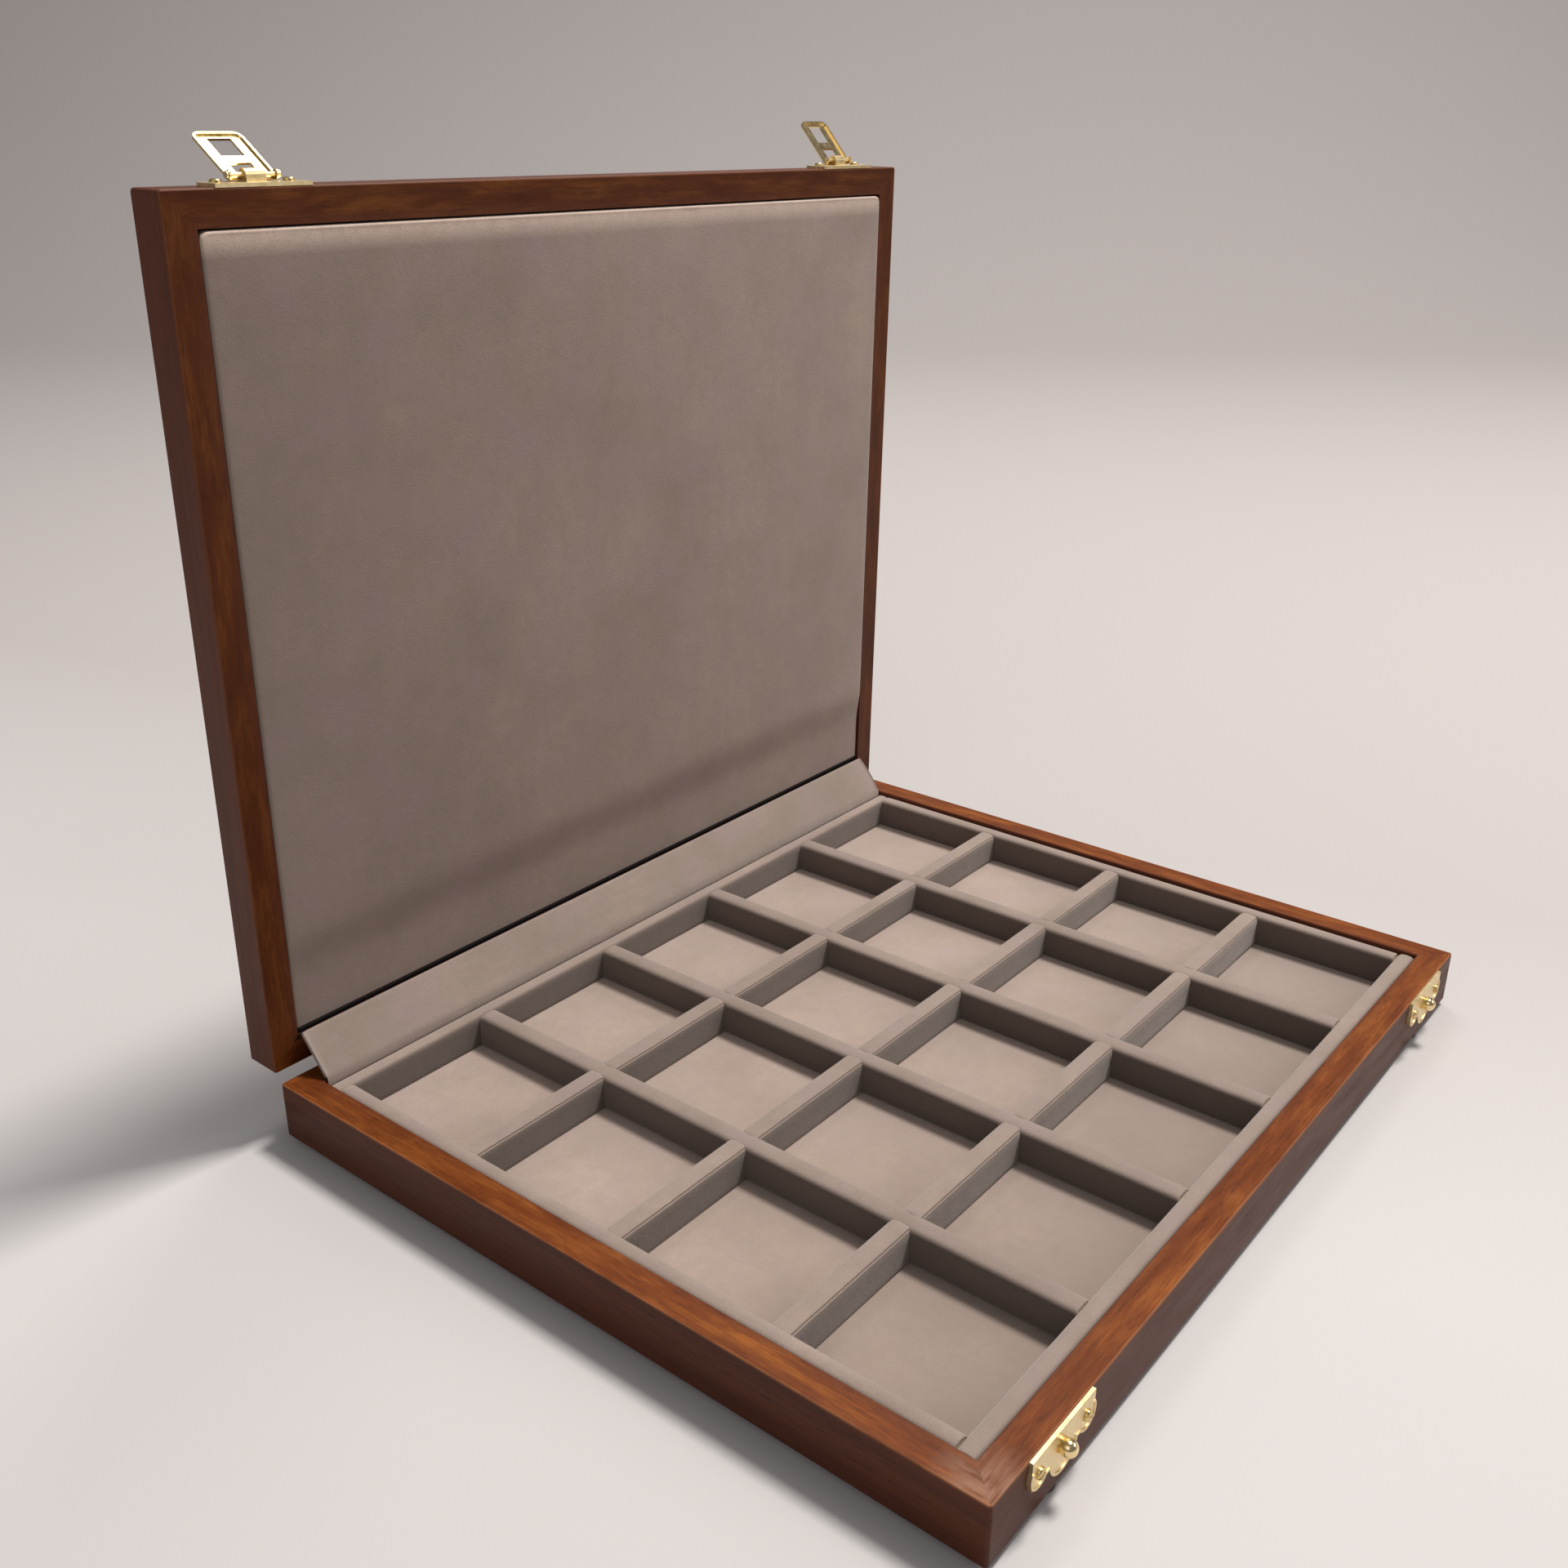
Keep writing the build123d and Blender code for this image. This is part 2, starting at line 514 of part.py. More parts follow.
for hand, cx, lever_deg in (("left", -latch_x, left_lever_deg), ("right", latch_x, right_lever_deg)):
    # strike plate on the base's front rail, a low bead along its scallops
    with BuildPart() as strike_plate:
        with BuildSketch(front_plane(Plane.XY, 0)):
            scalloped(cx, z_part - 0.05, -1, lobe_r)
        extrude(amount=plate_t)
        with BuildSketch(front_plane(Plane.XY, plate_t)) as bead:
            scalloped(cx, z_part - 0.05, -1, lobe_r)
            offset(amount=-0.7, mode=Mode.SUBTRACT)
            with Locations((cx, z_part - 1.6)):
                Rectangle(plate_w + 2, 3.6, mode=Mode.SUBTRACT)
        extrude(amount=bead_h)
        with BuildSketch(front_plane(Plane.XY, 0)):
            with Locations((cx - ear_x, z_part - ear_z), (cx + ear_x, z_part - ear_z)):
                Circle(screw_r)
            with Locations((cx, z_part - stud_drop)):
                Circle(1.0)
        extrude(amount=plate_t, mode=Mode.SUBTRACT)
    keep(strike_plate, f"{hand}_strike_plate")

    with BuildPart() as strike_stud:
        # domed head, undercut where it meets the plate
        with Locations(Location((cx, front - plate_t - stud_out, z_part - stud_drop))):
            Sphere(stud_r)
        with BuildSketch(front_plane(Plane.XY, plate_t)):
            with Locations((cx, z_part - stud_drop)):
                Rectangle(8, 8)
        extrude(amount=-6.0, mode=Mode.SUBTRACT)
        with BuildSketch(front_plane(Plane.XY, plate_t)):
            with Locations((cx, z_part - stud_drop)):
                Circle(1.0)
        extrude(amount=-(plate_t + 5.0))
    keep(strike_stud, f"{hand}_strike_stud")

    # latch plate on the lid's front rail with the rolled knuckle
    with BuildPart() as latch_plate:
        with BuildSketch(front_plane(LID, 0)):
            scalloped(cx, z_lid + 0.05, 1, 5.0)
        extrude(amount=plate_t)
        with BuildSketch(side_plane(LID, cx - 3.0)):
            with Locations((front - pin_out, z_lid + pin_up)):
                Circle(1.6)
            Polygon((front - 0.5, z_lid + pin_up - 1.6), (front - pin_out, z_lid + pin_up - 1.6),
                    (front - pin_out, z_lid + pin_up + 0.6), (front - plate_t, z_lid + pin_up + 3.4),
                    (front - 0.5, z_lid + pin_up + 3.4), align=None)
        extrude(amount=6.0)
        with BuildSketch(side_plane(LID, cx - 3.0)):
            with Locations((front - pin_out, z_lid + pin_up)):
                Circle(latch_pin_r)
        extrude(amount=6.0, mode=Mode.SUBTRACT)
        with BuildSketch(front_plane(LID, 0)):
            with Locations((cx - ear_x, z_lid + ear_z), (cx + ear_x, z_lid + ear_z)):
                Circle(screw_r)
        extrude(amount=plate_t, mode=Mode.SUBTRACT)
    keep(latch_plate, f"{hand}_latch_plate")

    with BuildPart() as latch_pin:
        with BuildSketch(side_plane(LID, cx - lever_w / 2 - 0.2)):
            with Locations((front - pin_out, z_lid + pin_up)):
                Circle(latch_pin_r)
        extrude(amount=lever_w + 0.4)
        for ex, way in ((cx - lever_w / 2 - 0.2, -1), (cx + lever_w / 2 + 0.2, 1)):
            with BuildSketch(side_plane(LID, ex)):
                with Locations((front - pin_out, z_lid + pin_up)):
                    Circle(latch_pin_r + 0.35)
            extrude(amount=0.35 * way)
    keep(latch_pin, f"{hand}_latch_pin")

    # lever: a shallow pan with two windows, drawn latched and swung up
    pin = (front - pin_out, z_lid + pin_up)
    LEVER = turned(open_deg + lever_deg, pin, in_world(LID, *pin))
    root = pin[1] + 1.2
    tip = pin[1] - lever_l
    with BuildPart() as lever:
        with BuildSketch(front_plane(LEVER, flange_in)) as lever_outline:
            with Locations((cx, (root + tip) / 2)):
                Rectangle(lever_w, root - tip)
            fillet(lever_outline.vertices().group_by(Axis.Y)[0], 2.4)
        extrude(amount=face_out - flange_in)
        face = lever.faces().sort_by(Axis(LEVER.origin, -LEVER.y_dir))[-1]
        fillet(face.edges().sort_by(Axis(LEVER.origin, LEVER.z_dir))[-1], 1.2)
        face = lever.faces().sort_by(Axis(LEVER.origin, -LEVER.y_dir))[-1]
        rim = [e for e in face.edges() if e != face.edges().sort_by(Axis(LEVER.origin, LEVER.z_dir))[-1]]
        fillet(rim, 0.6)
        with BuildSketch(front_plane(LEVER, flange_in)) as lever_pan:
            with Locations((cx, (root + 1 + tip + lever_t) / 2)):
                Rectangle(lever_w - 2 * lever_t, root + 1 - tip - lever_t)
            fillet(lever_pan.vertices().group_by(Axis.Y)[0], 1.6)
        extrude(amount=face_out - flange_in - lever_t, mode=Mode.SUBTRACT)
        # the two ears that carry the pin
        for ex in (cx - lever_w / 2, cx + lever_w / 2 - lever_t):
            with BuildSketch(side_plane(LEVER, ex)):
                with Locations(pin):
                    Circle(lever_ear_r)
            extrude(amount=lever_t)
        with BuildSketch(front_plane(LEVER, flange_in)) as lever_windows:
            with Locations((cx, z_part - window_drop)):
                Rectangle(window_w, window_l)
            with Locations((cx, (pin[1] - 5.8 + root + 1) / 2)):
                Rectangle(6.8, root + 1 - pin[1] + 5.8)
        extrude(amount=face_out - flange_in, mode=Mode.SUBTRACT)
        with BuildSketch(side_plane(LEVER, cx - lever_w / 2)):
            with Locations(pin):
                Circle(latch_pin_r + run_gap)
        extrude(amount=lever_w, mode=Mode.SUBTRACT)
    keep(lever, f"{hand}_latch_lever")

slants = (20, -35, 60, 5)
spots = [(cx + d, z_part - ear_z) for cx in (-latch_x, latch_x) for d in (-ear_x, ear_x)]
round_screws("strike_screws", front_plane(Plane.XY, plate_t), [(x, z, s) for (x, z), s in zip(spots, slants)])
spots = [(cx + d, z_lid + ear_z) for cx in (-latch_x, latch_x) for d in (-ear_x, ear_x)]
round_screws("latch_screws", front_plane(LID, plate_t), [(x, z, s) for (x, z), s in zip(spots, slants[::-1])])

print("box", round(W, 2), round(D, 2), "pivot", round(yp, 3), round(zp, 3), "fold", round(yf, 3), round(zf, 3))
for hand, cx in (("left", -latch_x), ("right", latch_x)):
    y, z = in_world(LID, front - pin_out, z_lid + pin_up)
    print(hand, "lever pin", cx, round(y, 4), round(z, 4))
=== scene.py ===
from math import sin, cos, radians, pi

import bpy
from mathutils import Matrix, Vector, noise


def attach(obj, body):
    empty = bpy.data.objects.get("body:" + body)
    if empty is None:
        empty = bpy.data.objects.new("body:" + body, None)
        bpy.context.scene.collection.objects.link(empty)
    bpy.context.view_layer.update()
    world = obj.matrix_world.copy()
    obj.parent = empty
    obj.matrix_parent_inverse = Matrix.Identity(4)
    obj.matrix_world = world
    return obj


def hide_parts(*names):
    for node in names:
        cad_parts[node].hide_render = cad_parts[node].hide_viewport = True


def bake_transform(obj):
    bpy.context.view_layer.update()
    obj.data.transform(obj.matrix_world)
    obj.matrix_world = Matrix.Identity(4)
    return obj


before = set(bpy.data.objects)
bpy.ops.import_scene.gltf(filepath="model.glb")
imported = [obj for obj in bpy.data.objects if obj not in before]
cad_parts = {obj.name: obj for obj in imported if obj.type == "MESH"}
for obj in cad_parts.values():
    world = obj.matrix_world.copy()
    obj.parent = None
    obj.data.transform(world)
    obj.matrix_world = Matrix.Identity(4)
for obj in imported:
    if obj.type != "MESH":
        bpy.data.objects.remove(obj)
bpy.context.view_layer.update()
MM = 0.001

# ------------------------------------------------------------------
# Sizes of the frame, millimetres
# ------------------------------------------------------------------
W, D = 312.0, 254.4
FLOOR, TOP = 6.0, 17.3
Z_LID = 18.8
YP, ZP = 129.4, 18.65
YF, ZF = 117.3, 18.6
TRAY_X, TRAY_Y = 292.2, 234.6
DIV, BORDER, PITCH = 7.4, 5.8, 57.6
CROSS_X = (-86.4, -28.8, 28.8, 86.4)
LONG_Y = (-57.6, 0.0, 57.6)
OPEN = 89.0
# the drawing's zero is the middle of the wood's underside
SHIFT = Vector((0.0, -6.8145, 2.0))


def opened(x, y, z):
    """A point of the shut lid, where it is with the lid open."""
    c, s = cos(radians(OPEN)), sin(radians(OPEN))
    return x, YP + (y - YP) * c + (z - ZP) * s, ZP - (y - YP) * s + (z - ZP) * c


def lin(r, g, b):
    """An 8-bit display colour as linear values."""
    out = []
    for v in (r, g, b):
        v /= 255
        out.append(v / 12.92 if v <= 0.04045 else ((v + 0.055) / 1.055) ** 2.4)
    return (*out, 1.0)


# ------------------------------------------------------------------
# Materials
# ------------------------------------------------------------------
UP = (0.0, 0.0, 1.0)


class Nodes:
    def __init__(self, name):
        self.mat = bpy.data.materials.new(name)
        self.mat.use_nodes = True
        self.t = self.mat.node_tree
        self.bsdf = self.t.nodes["Principled BSDF"]
        self.co = self.t.nodes.new("ShaderNodeTexCoord")

    def new(self, kind, **props):
        n = self.t.nodes.new(kind)
        for k, v in props.items():
            setattr(n, k, v)
        return n

    def link(self, a, b):
        self.t.links.new(a, b)

    def mapped(self, scale, offset=(0, 0, 0)):
        m = self.new("ShaderNodeMapping")
        m.inputs["Scale"].default_value = scale
        m.inputs["Location"].default_value = offset
        self.link(self.co.outputs["Object"], m.inputs["Vector"])
        return m.outputs["Vector"]

    def noise(self, vec, scale=1.0, detail=3.0, rough=0.5, distort=0.0):
        n = self.new("ShaderNodeTexNoise")
        n.inputs["Scale"].default_value = scale
        n.inputs["Detail"].default_value = detail
        n.inputs["Roughness"].default_value = rough
        n.inputs["Distortion"].default_value = distort
        self.link(vec, n.inputs["Vector"])
        return n.outputs["Fac"]

    def ramp(self, fac, stops):
        r = self.new("ShaderNodeValToRGB")
        e = r.color_ramp.elements
        e[0].position, e[0].color = stops[0]
        e[1].position, e[1].color = stops[-1]
        for p, c in stops[1:-1]:
            x = e.new(p)
            x.color = c
        self.link(fac, r.inputs["Fac"])
        return r.outputs["Color"]

    def span(self, fac, a, b, c, d):
        m = self.new("ShaderNodeMapRange")
        for k, v in zip(("From Min", "From Max", "To Min", "To Max"), (a, b, c, d)):
            m.inputs[k].default_value = v
        self.link(fac, m.inputs["Value"])
        return m.outputs["Result"]

    def mix(self, fac, a, b, kind="MIX"):
        m = self.new("ShaderNodeMix", data_type="RGBA", blend_type=kind)
        for sock, v in ((m.inputs[0], fac), (m.inputs[6], a), (m.inputs[7], b)):
            if hasattr(v, "links"):
                self.link(v, sock)
            else:
                sock.default_value = v
        return m.outputs[2]

    def math(self, op, a, b):
        m = self.new("ShaderNodeMath", operation=op)
        for sock, v in ((m.inputs[0], a), (m.inputs[1], b)):
            if hasattr(v, "links"):
                self.link(v, sock)
            else:
                sock.default_value = v
        return m.outputs[0]

    def bump(self, height, strength, dist, normal=None):
        b = self.new("ShaderNodeBump")
        b.inputs["Strength"].default_value = strength
        b.inputs["Distance"].default_value = dist
        self.link(height, b.inputs["Height"])
        if normal is not None:
            self.link(normal, b.inputs["Normal"])
        return b.outputs["Normal"]

    def facing(self, way, low=0.55, high=0.95):
        """1 on the faces of the piece that look along way, 0 elsewhere."""
        d = self.new("ShaderNodeVectorMath", operation="DOT_PRODUCT")
        d.inputs[1].default_value = way
        self.link(self.co.outputs["Normal"], d.inputs[0])
        return self.span(d.outputs["Value"], low, high, 0.0, 1.0)

    def off_plane(self, way, at):
        """Distance of the surface from a plane of the frame, in metres."""
        d = self.new("ShaderNodeVectorMath", operation="DOT_PRODUCT")
        d.inputs[1].default_value = way
        self.link(self.co.outputs["Object"], d.inputs[0])
        return self.math("ABSOLUTE", self.math("SUBTRACT", d.outputs["Value"], at), 0.0)

    def off_point(self, at):
        d = self.new("ShaderNodeVectorMath", operation="DISTANCE")
        d.inputs[1].default_value = at
        self.link(self.co.outputs["Object"], d.inputs[0])
        return d.outputs["Value"]

    def out(self, **sockets):
        for k, v in sockets.items():
            s = self.bsdf.inputs[k.replace("_", " ")]
            if hasattr(v, "links"):
                self.link(v, s)
            else:
                s.default_value = v
        return self.mat


def plane(way, point, lid=False):
    """A plane of the drawing as (unit normal, offset in metres) in the frame."""
    n, p = Vector(way), Vector(point)
    if lid:
        far = Vector(opened(*(p + n)))
        p = Vector(opened(*p))
        n = far - p
    return tuple(n), n.dot(p + SHIFT) * MM


def wood(name, along, glow, seed, tint=1.0, outer=None, face=None, deep=1.15):
    """Stained straight-grained wood; along is the grain's axis and glow the
    side on which the stain is thin. outer and face are the planes that meet
    at the rail's outer edge, painted paler there: partly worn wood, partly a painted highlight."""
    n = Nodes(name)

    def scaled(lengthwise, across):
        v = [float(across)] * 3
        v[along] = float(lengthwise)
        return n.mapped(v, (seed * 3.1, seed * 1.7, seed * 2.3))

    fib = n.noise(scaled(24, 1500), 1.0, 4.0, 0.6)
    band = n.noise(scaled(7, 230), 1.0, 3.0, 0.55, 0.4)
    pores = n.noise(scaled(150, 2300), 1.0, 1.0, 0.5)
    blot = n.noise(scaled(40, 190), 1.0, 5.0, 0.66, 0.2)
    fleck = n.noise(scaled(140, 620), 1.0, 2.0, 0.5)
    dark = n.ramp(band, [(0.30, (0.066 * deep, 0.0200 * deep, 0.0110 * deep, 1)), (0.70, (0.118 * deep, 0.0360 * deep, 0.0175 * deep, 1))])
    warm = n.ramp(blot, [(0.30, (0.125 * tint, 0.0270 * tint, 0.0050 * tint, 1)), (0.50, (0.205 * tint, 0.0500 * tint, 0.0075 * tint, 1)),
                         (0.70, (0.345 * tint, 0.1030 * tint, 0.0150 * tint, 1))])
    side = n.facing(glow)
    if outer is not None:
        # the stain is deeper towards the inner edge
        side = n.math("MULTIPLY", side, n.span(n.off_plane(*outer), 0.0058, 0.0094, 1.0, 0.55))
    col = n.mix(side, dark, warm)
    col = n.mix(n.span(band, 0.35, 0.75, 0.0, 0.30), col, (0.060 * tint, 0.0170 * tint, 0.0075 * tint, 1))
    col = n.mix(n.span(fib, 0.30, 0.75, 0.0, 0.46), col, (0.045, 0.0140, 0.0070, 1))
    col = n.mix(n.span(pores, 0.60, 0.72, 0.0, 0.42), col, (0.024, 0.0085, 0.0050, 1))
    col = n.mix(n.span(fleck, 0.66, 0.80, 0.0, 0.22), col, (0.055, 0.0160, 0.0070, 1))
    worn_edge_and_highlight = None
    # painted highlight and wear: a paler line along the rail's rounded outer edge, partly worn wood and partly a
    # painted highlight
    if outer is not None and face is not None:
        a = n.span(n.off_plane(*outer), 0.0, 0.0006, 1.0, 0.0)
        b = n.span(n.off_plane(*face), 0.0, 0.0006, 1.0, 0.0)
        worn_edge_and_highlight = n.math("MULTIPLY", n.math("MULTIPLY", a, b), n.span(blot, 0.38, 0.62, 0.5, 2.2))
        worn_edge_and_highlight = n.math("MINIMUM", worn_edge_and_highlight, 0.45 if glow == UP else 0.15)
        col = n.mix(worn_edge_and_highlight, col, (0.330, 0.140, 0.066, 1))
    if along == 1 and glow == UP or name.startswith("base_front"):
        # the corner nearest the camera is scuffed dull
        scuff = n.math("MULTIPLY", n.span(n.off_point((-0.1525, -0.1305, 0.0205)), 0.004, 0.015, 0.75, 0.0), n.span(fleck, 0.35, 0.62, 0.25, 1.0))
        scuff = n.math("MULTIPLY", scuff, n.facing(glow))
        col = n.mix(scuff, col, (0.300, 0.165, 0.110, 1))
    if name.startswith("lid_back"):
        # painted shadow: a dark band on the rail's face behind the flap's free edge
        painted_gap_shadow = plane((0, 1, 0), (0, 117.7, 19.0), True)
        col = n.mix(n.span(n.off_plane(*painted_gap_shadow), 0.0012, 0.0020, 0.92, 0.0), col, (0.012, 0.008, 0.007, 1))
    n.link(n.bump(n.math("ADD", fib, n.math("MULTIPLY", pores, 0.7)), 0.26, 0.00006), n.bsdf.inputs["Normal"])
    rough = n.span(blot, 0.25, 0.75, 0.34, 0.50)
    return n.out(Base_Color=col, Roughness=rough, Specular_IOR_Level=0.12)


def velvet(name, seed=0.0, streaks=None, light=1.0, broad=0.34, fine=0.26, edge=None, far=None, strip=False, sheen=0.95):
    """Short pile cloth; streaks is the axis along which faint brush marks run."""
    n = Nodes(name)
    off = (seed, seed * 2, seed * 3)

    def shade(v):
        return tuple(c * v * light for c in (0.300, 0.232, 0.192)) + (1,)

    cloud = n.noise(n.mapped((30.0,) * 3, off), 1.0, 5.0, 0.55)
    mott = n.noise(n.mapped((230.0,) * 3, off), 1.0, 4.0, 0.6)
    pile = n.noise(n.mapped((2100.0,) * 3, off), 1.0, 3.0, 0.65)
    col = n.ramp(cloud, [(0.30, shade(0.82)), (0.70, shade(1.12))])
    col = n.mix(n.span(mott, 0.35, 0.75, 0.0, 0.42), col, shade(0.76))
    if streaks is not None:
        wide, thin = [70.0] * 3, [620.0] * 3
        wide[streaks], thin[streaks] = 9.0, 45.0
        st = n.noise(n.mapped(wide, (seed + 4, 0, 0)), 1.0, 4.0, 0.6)
        hair = n.noise(n.mapped(thin, (seed + 9, 0, 0)), 1.0, 3.0, 0.55)
        col = n.mix(n.span(st, 0.50, 0.74, 0.0, broad), col, shade(0.70))
        col = n.mix(n.span(hair, 0.35, 0.70, 0.0, fine), col, shade(0.72))
    cool = n.noise(n.mapped((55.0,) * 3, (seed + 6, seed, 0)), 1.0, 4.0, 0.6)
    col = n.mix(n.span(cool, 0.44, 0.70, 0.0, 0.55), col, tuple(c * v * light for c, v in zip((0.300, 0.232, 0.192), (0.98, 0.95, 1.12))) + (1,))
    if strip:
        # painted shade: darker towards the foot of a strip, and darker on the faces that look towards -X and -Y
        col = n.mix(n.span(n.off_plane(UP, 0.0080), 0.0, 0.0095, 0.92, 0.0), col, shade(0.40))
        col = n.mix(n.math("MULTIPLY", n.facing((-1, 0, 0), 0.5, 0.9), 0.80), col, shade(0.30))
        col = n.mix(n.math("MULTIPLY", n.facing((0, -1, 0), 0.5, 0.95), 0.86), col, shade(0.27))
    if far is not None:
        # painted shade: the colour darkens towards one side, where less light falls
        way, at, reach, share = far
        col = n.mix(n.span(n.off_plane(way, at), 0.0, reach, share, 0.0), col, shade(0.42))
    if edge is not None:
        # painted highlight: a paler band along the pad's front edge, where the rounded cloth catches the light
        col = n.mix(n.math("MULTIPLY", n.span(n.off_plane(*edge), 0.0012, 0.0068, 0.90, 0.0), n.span(mott, 0.30, 0.60, 0.72, 1.0)), col, shade(1.95))
    col = n.mix(n.span(pile, 0.35, 0.70, 0.0, 0.34), col, shade(0.62))
    n.link(n.bump(n.math("ADD", pile, n.math("MULTIPLY", mott, 0.6)), 0.50, 0.00022), n.bsdf.inputs["Normal"])
    m = n.out(Base_Color=col, Roughness=0.95, Specular_IOR_Level=0.10, Sheen_Weight=sheen, Sheen_Roughness=0.48)
    n.bsdf.inputs["Sheen Tint"].default_value = (1.0, 0.92, 0.86, 1)
    return m


def brass(name, seed=0.0, rough=0.17, pale=0.0, brushed=None, dim=1.0):
    """Polished brass; brushed is the axis of faint drawn lines."""
    n = Nodes(name)
    off = (seed, seed, seed)
    smear = n.noise(n.mapped((420.0,) * 3, off), 1.0, 4.0, 0.6)
    lines = [4200.0] * 3
    if brushed is not None:
        lines[brushed] = 160.0
    fine = n.noise(n.mapped(lines, off), 1.0, 3.0, 0.55)
    spots = n.noise(n.mapped((1900.0,) * 3, off), 1.0, 2.0, 0.5)
    col = n.ramp(smear, [(0.30, ((0.84 + 0.04 * pale) * dim, (0.58 + 0.12 * pale) * dim, (0.21 + 0.20 * pale) * dim, 1)),
                         (0.72, (0.96 * dim, (0.77 + 0.07 * pale) * dim, (0.39 + 0.16 * pale) * dim, 1))])
    col = n.mix(n.span(spots, 0.66, 0.80, 0.0, 0.14), col, (0.40, 0.25, 0.09, 1))
    n.link(n.bump(fine, 0.16, 0.00004), n.bsdf.inputs["Normal"])
    return n.out(Base_Color=col, Metallic=1.0, Roughness=n.span(smear, 0.3, 0.7, rough, rough + 0.12))


def plain(name, a, b, rough, scale=300.0, seed=0.0):
    n = Nodes(name)
    f = n.noise(n.mapped((scale,) * 3, (seed,) * 3), 1.0, 5.0, 0.6)
    n.link(n.bump(f, 0.25, 0.0001), n.bsdf.inputs["Normal"])
    return n.out(Base_Color=n.ramp(f, [(0.3, a), (0.7, b)]), Roughness=rough)


LID_IN = (0.0, -sin(radians(OPEN)), -cos(radians(OPEN)))
OUT = {"front": (0, -1, 0), "back": (0, 1, 0), "left": (-1, 0, 0), "right": (1, 0, 0)}
MATS = {}
for i, (side, axis) in enumerate((("front", 0), ("back", 0), ("left", 1), ("right", 1))):
    way = OUT[side]
    at = (way[0] * W / 2, way[1] * D / 2, 0)
    MATS[f"base_{side}_rail"] = wood(f"base_{side}_wood", axis, UP, i + 1.0, 1.0, plane(way, at), plane((0, 0, 1), (0, 0, 18.5)))
    MATS[f"lid_{side}_rail"] = wood(f"lid_{side}_wood", 0 if axis == 0 else 2, LID_IN, i + 7.0, 0.52,
                                    plane(way, at, True), plane((0, 0, -1), (0, 0, Z_LID), True), 1.4)
MATS["base_bottom_panel"] = wood("bottom_panel_wood", 0, (1, 0, 0), 12.0, 1.1)
MATS["lid_top_panel"] = wood("top_panel_wood", 0, (1, 0, 0), 13.0, 1.1)
# light scales each copy of the one cloth: painted light and shade, brightest on the floor cloth and darkest on the
# cross strips
VELVET_PAD = velvet("velvet_pad", 2.0, 2, 1.11, 0.26, 0.10, plane((0, -1, 0), (0, -117.1, 19.0), True), (*plane((-1, 0, 0), (-146, 0, 0)), 0.20, 0.42), sheen=0.35)
VELVET_FLOOR = velvet("velvet_floor", 5.0, light=1.33, far=(*plane((0, -1, 0), (0, -117, 0)), 0.13, 0.62))
VELVET_STRIP = velvet("velvet_strips", 8.0, light=1.01, strip=True, sheen=0.65)
VELVET_CROSS = velvet("velvet_cross_strips", 14.0, light=0.94, strip=True, sheen=0.65)
VELVET_FLAP = velvet("velvet_flap", 11.0, 0, 1.0)
BRASS = brass("brass_plates", 1.0, 0.30, 0.65, 0, 0.90)
BRASS_HINGE = brass("brass_hinges", 4.0, 0.22, 0.2, 0)
BRASS_BRIGHT = brass("brass_levers", 2.0, 0.13, 0.45)
STUD = brass("brass_studs", 5.0, 0.09, 0.5)
SCREW = brass("brass_screws", 3.0, 0.22, 0.0, None, 0.80)
CARD = plain("grey_card", (0.36, 0.31, 0.26, 1), (0.46, 0.41, 0.35, 1), 0.9)
PAD_GAP = plain("pad_gap_shadow", (0.012, 0.009, 0.008, 1), (0.019, 0.013, 0.011, 1), 0.95)
CORE = plain("bare_softwood", (0.50, 0.36, 0.22, 1), (0.64, 0.49, 0.32, 1), 0.7)
RUBBER = plain("foot_rubber", (0.016, 0.015, 0.014, 1), (0.030, 0.028, 0.026, 1), 0.75, 900.0)

for name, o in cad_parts.items():
    if name in MATS:
        m = MATS[name]
    elif name.endswith("_core"):
        m = CORE
    elif "card" in name or "board" in name:
        m = CARD
    elif name == "rubber_feet":
        m = RUBBER
    elif "lever" in name:
        m = BRASS_BRIGHT
    elif "screws" in name:
        m = SCREW
    elif "stud" in name:
        m = STUD
    elif "hinge" in name and ("leaf" in name or "pin" in name):
        m = BRASS_HINGE
    elif any(k in name for k in ("pin", "plate")):
        m = BRASS
    else:
        m = VELVET_STRIP
    o.data.materials.clear()
    o.data.materials.append(m)


# ------------------------------------------------------------------
# Mesh helpers
# ------------------------------------------------------------------
def mesh(name, verts, faces, mat, smooth=True, shift=SHIFT):
    me = bpy.data.meshes.new(name)
    me.from_pydata([tuple((Vector(v) + shift) * MM) for v in verts], [], faces)
    me.materials.append(mat)
    if smooth:
        for p in me.polygons:
            p.use_smooth = True
    me.update()
    o = bpy.data.objects.new(name, me)
    bpy.context.scene.collection.objects.link(o)
    return o


def wave(x, y, z, scale):
    return noise.noise(Vector((x * scale, y * scale, z * scale)))


def grid_faces(rows, cols, start=0):
    return [(start + r * cols + c, start + (r + 1) * cols + c, start + (r + 1) * cols + c + 1, start + r * cols + c + 1)
            for r in range(rows - 1) for c in range(cols - 1)]


